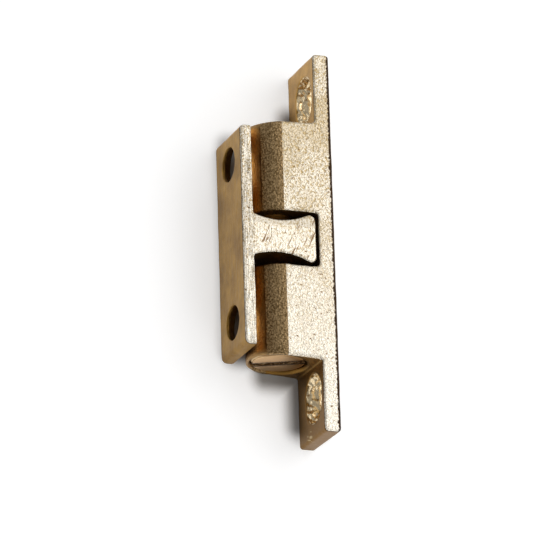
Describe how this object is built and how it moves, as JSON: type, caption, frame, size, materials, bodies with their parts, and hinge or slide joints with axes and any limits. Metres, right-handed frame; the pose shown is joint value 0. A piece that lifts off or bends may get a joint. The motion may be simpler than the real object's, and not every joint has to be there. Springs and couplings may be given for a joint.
{
  "type": "double ball catch",
  "caption": "Cast brass double ball catch: a screw plate with two sprung balls grips the waisted tongue of its strike plate.",
  "frame": {"origin": "middle of the housing plate's back face, halfway between the screw holes", "axes": "+X along the plates, +Y out of the housing plate's back (the strike lies towards -Y), +Z across the width, up when the catch lies on its side"},
  "size_m": [0.05, 0.0124, 0.009],
  "materials": {
    "cast_brass": "as cast, unlacquered",
    "ball_brass": "polished",
    "turned_brass": "turned",
    "spring_steel": "drawn wire"
  },
  "bodies": {
    "housing": {"housing": "cast_brass"},
    "strike": {"strike": "cast_brass"},
    "ball_a": {"ball_a": "ball_brass"},
    "ball_b": {"ball_b": "ball_brass"},
    "spring_a": {"spring_a": "spring_steel"},
    "spring_b": {"spring_b": "spring_steel"},
    "adjuster_a": {"adjuster_a": "turned_brass"},
    "adjuster_b": {"adjuster_b": "turned_brass"}
  },
  "joints": [
    {"name": "strike_pull", "type": "slide", "parent": "housing", "child": "strike", "axis": [0, -1, 0], "range_m": [0, 0.0085]},
    {"name": "ball_a_press", "type": "slide", "parent": "housing", "child": "ball_a", "axis": [-1, 0, 0], "range_m": [0, 0.00145], "stiffness_N_per_m": 1500, "springref_m": -0.0015, "deforming": ["spring_a"]},
    {"name": "adjuster_a_advance", "type": "slide", "parent": "housing", "child": "spring_a", "axis": [1, 0, 0], "range_m": [0, 0.001], "deforming": ["spring_a"]},
    {"name": "adjuster_a_turn", "type": "hinge", "parent": "spring_a", "child": "adjuster_a", "pos_m": [-0.01384, -0.0064, 0], "axis": [1, 0, 0], "range_deg": [0, 720]},
    {"name": "ball_b_press", "type": "slide", "parent": "housing", "child": "ball_b", "axis": [1, 0, 0], "range_m": [0, 0.00145], "stiffness_N_per_m": 1500, "springref_m": -0.0015, "deforming": ["spring_b"]},
    {"name": "adjuster_b_advance", "type": "slide", "parent": "housing", "child": "spring_b", "axis": [-1, 0, 0], "range_m": [0, 0.001], "deforming": ["spring_b"]},
    {"name": "adjuster_b_turn", "type": "hinge", "parent": "spring_b", "child": "adjuster_b", "pos_m": [0.01384, -0.0064, 0], "axis": [-1, 0, 0], "range_deg": [0, 720]}
  ],
  "couplings": [
    {"joint": "ball_a_press", "follows": "strike_pull", "ratio": 0.17},
    {"joint": "adjuster_a_turn", "follows": "adjuster_a_advance", "rad_per_m": 12566},
    {"joint": "ball_b_press", "follows": "strike_pull", "ratio": 0.17},
    {"joint": "adjuster_b_turn", "follows": "adjuster_b_advance", "rad_per_m": 12566}
  ]
}
